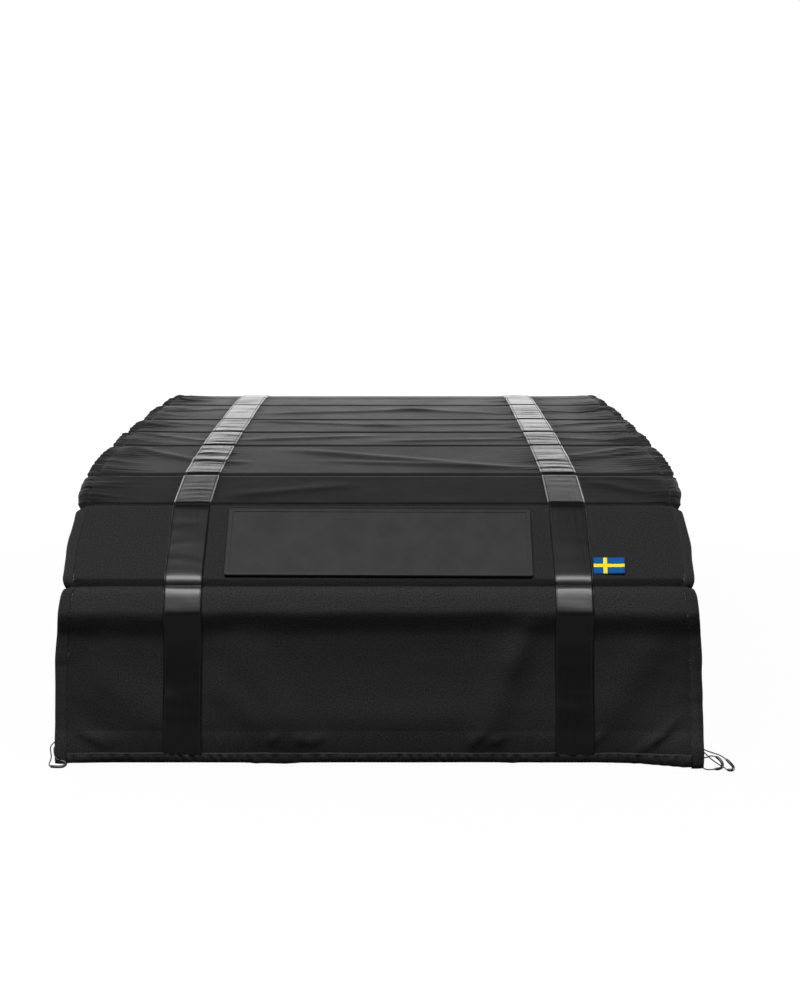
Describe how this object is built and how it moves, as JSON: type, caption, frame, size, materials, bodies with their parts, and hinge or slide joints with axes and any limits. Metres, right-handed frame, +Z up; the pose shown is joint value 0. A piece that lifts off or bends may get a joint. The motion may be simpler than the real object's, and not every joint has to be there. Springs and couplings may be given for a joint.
{
  "type": "roof box",
  "caption": "Soft-sided fold-flat roof box with slatted fabric cover, zip-in side walls, webbing straps and a stiffened base clamped to roof bars.",
  "frame": {"origin": "centre of the footprint between the side edges and the two end hems, on the underside of the bar pads", "axes": "+X across the width to the object's left-hand side as it travels backwards, which is the picture's right; +Y along the length from the badge end to the other end; +Z up"},
  "size_m": [0.8957, 1.6314, 0.3638],
  "materials": {
    "cover_cloth": "coated woven polyester, satin, fine speckled weave",
    "wall_cloth": "coated woven polyester, satin",
    "lining": "plain woven lining, matt",
    "binding": "folded cloth binding, stitched",
    "webbing": "ribbed polyester webbing, slight sheen",
    "base_cloth": "rubberised mat, fine texture",
    "board": "extruded board, matt",
    "badge": "moulded, satin field and raised rim",
    "label": "woven satin tab",
    "pad_rubber": "foamed rubber, matt",
    "clamp_steel": "zinc plated, satin",
    "knob_plastic": "moulded, fine texture",
    "zip": "moulded teeth on woven tape",
    "slider_metal": "black enamelled, satin",
    "pull_cord": "braided cord, matt",
    "pull_grip": "soft moulded sleeve, satin"
  },
  "bodies": {
    "root": {"cover_skin": "cover_cloth", "cover_lining": "lining", "slat_front": "board", "slat_badge": "board", "slat_shoulder": "board", "slat_top_1": "board", "slat_top_2": "board", "slat_top_3": "board", "slat_top_4": "board", "slat_top_5": "board", "slat_top_6": "board", "slat_rear_upper": "board", "slat_rear_lower": "board", "hem_binding_front": "binding", "hem_binding_rear": "binding", "strap_left": "webbing", "strap_right": "webbing", "badge_plate": "badge", "side_label": "label", "bar_pad_front": "pad_rubber", "bar_pad_rear": "pad_rubber", "base_mat": "base_cloth", "base_board_1": "board", "base_board_2": "board", "base_board_3": "board", "base_board_4": "board", "clamp_bolt_1": "clamp_steel", "clamp_bolt_2": "clamp_steel", "clamp_bolt_3": "clamp_steel", "clamp_bolt_4": "clamp_steel", "clamp_plate_1": "clamp_steel", "clamp_plate_2": "clamp_steel", "clamp_plate_3": "clamp_steel", "clamp_plate_4": "clamp_steel", "zip_cover_left": "zip", "zip_cover_right": "zip"},
    "wall_left": {"wall_skin_left": "wall_cloth", "wall_lining_left": "lining", "wall_board_front_left": "board", "wall_board_middle_left": "board", "wall_board_rear_left": "board", "zip_wall_left": "zip"},
    "wall_right": {"wall_skin_right": "wall_cloth", "wall_lining_right": "lining", "wall_board_front_right": "board", "wall_board_middle_right": "board", "wall_board_rear_right": "board", "zip_wall_right": "zip"},
    "slider_left": {"zip_slider_left": "slider_metal", "pull_cord_left": "pull_cord", "pull_grip_left": "pull_grip"},
    "slider_right": {"zip_slider_right": "slider_metal", "pull_cord_right_low": "pull_cord", "pull_cord_right_high": "pull_cord", "pull_grip_right_low": "pull_grip", "pull_grip_right_high": "pull_grip"},
    "knob_1": {"clamp_knob_1": "knob_plastic"},
    "knob_2": {"clamp_knob_2": "knob_plastic"},
    "knob_3": {"clamp_knob_3": "knob_plastic"},
    "knob_4": {"clamp_knob_4": "knob_plastic"}
  },
  "joints": [
    {"name": "wall_left_fold", "type": "hinge", "parent": "root", "child": "wall_left", "pos_m": [-0.396, 0, 0.0113], "axis": [0, -1, 0], "range_deg": [0, 90]},
    {"name": "wall_right_fold", "type": "hinge", "parent": "root", "child": "wall_right", "pos_m": [0.396, 0, 0.0113], "axis": [0, 1, 0], "range_deg": [0, 90]},
    {"name": "slider_left_run", "type": "slide", "parent": "root", "child": "slider_left", "axis": [0, 0.0602, 0.9982], "range_m": [0, 0.178]},
    {"name": "slider_right_run", "type": "slide", "parent": "root", "child": "slider_right", "axis": [0, 0.0602, 0.9982], "range_m": [0, 0.178]},
    {"name": "knob_1_turn", "type": "hinge", "parent": "root", "child": "knob_1", "pos_m": [-0.25, -0.4, 0.0202], "axis": [0, 0, 1], "continuous": true},
    {"name": "knob_2_turn", "type": "hinge", "parent": "root", "child": "knob_2", "pos_m": [0.25, -0.4, 0.0202], "axis": [0, 0, 1], "continuous": true},
    {"name": "knob_3_turn", "type": "hinge", "parent": "root", "child": "knob_3", "pos_m": [-0.25, 0.4, 0.0202], "axis": [0, 0, 1], "continuous": true},
    {"name": "knob_4_turn", "type": "hinge", "parent": "root", "child": "knob_4", "pos_m": [0.25, 0.4, 0.0202], "axis": [0, 0, 1], "continuous": true}
  ]
}
